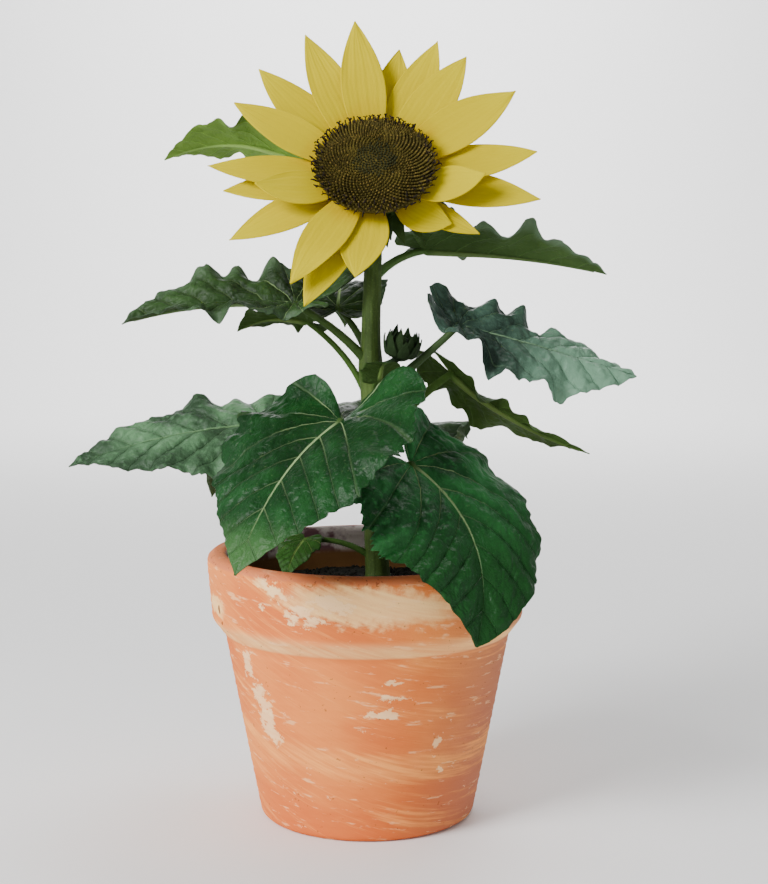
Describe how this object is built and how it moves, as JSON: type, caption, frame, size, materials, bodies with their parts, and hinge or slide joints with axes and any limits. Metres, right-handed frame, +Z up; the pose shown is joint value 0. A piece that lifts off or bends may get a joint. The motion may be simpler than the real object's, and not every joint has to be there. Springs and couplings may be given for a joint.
{
  "type": "potted sunflower plant",
  "caption": "Dwarf sunflower with an open yellow bloom over broad toothed heart-shaped leaves, growing in a round clay pot with a rim band.",
  "frame": {"origin": "middle of the pot's flat underside", "axes": "+Z up, the bloom faces -Y, +X to the right as seen from the bloom's side"},
  "size_m": [0.2623, 0.226, 0.3743],
  "materials": {
    "clay": "matte fired clay with pale lime bloom",
    "soil": "dark crumbly potting soil",
    "stem": "rough green stem with short hairs",
    "leaf": "quilted dark green leaf with paler veins",
    "bract": "soft green bract",
    "petal": "bright yellow ray petal, satin",
    "disc": "dark brown packed florets"
  },
  "bodies": {
    "root": {"pot": "clay", "soil": "soil", "stem": "stem", "leaf_front_left": "leaf", "leaf_front_right": "leaf", "leaf_low_left": "leaf", "leaf_mid_left": "leaf", "leaf_inner_left": "leaf", "leaf_mid_right": "leaf", "leaf_low_right": "leaf", "leaf_rear_high": "leaf", "leaf_upper_left": "leaf", "leaf_upper_right": "leaf", "leaf_rear_right": "leaf", "leaf_rear": "leaf", "leaf_rear_left": "leaf", "leaf_upper_rear": "leaf", "leaf_in_pot": "leaf", "leaf_young": "leaf", "bud": "bract", "head_disc": "disc", "head_cup": "bract", "petal_01": "petal", "petal_02": "petal", "petal_03": "petal", "petal_04": "petal", "petal_05": "petal", "petal_06": "petal", "petal_07": "petal", "petal_08": "petal", "petal_09": "petal", "petal_10": "petal", "petal_11": "petal", "petal_12": "petal", "petal_13": "petal", "petal_14": "petal", "petal_15": "petal", "petal_16": "petal", "petal_17": "petal", "petal_18": "petal", "petal_19": "petal", "petal_20": "petal"}
  },
  "joints": []
}
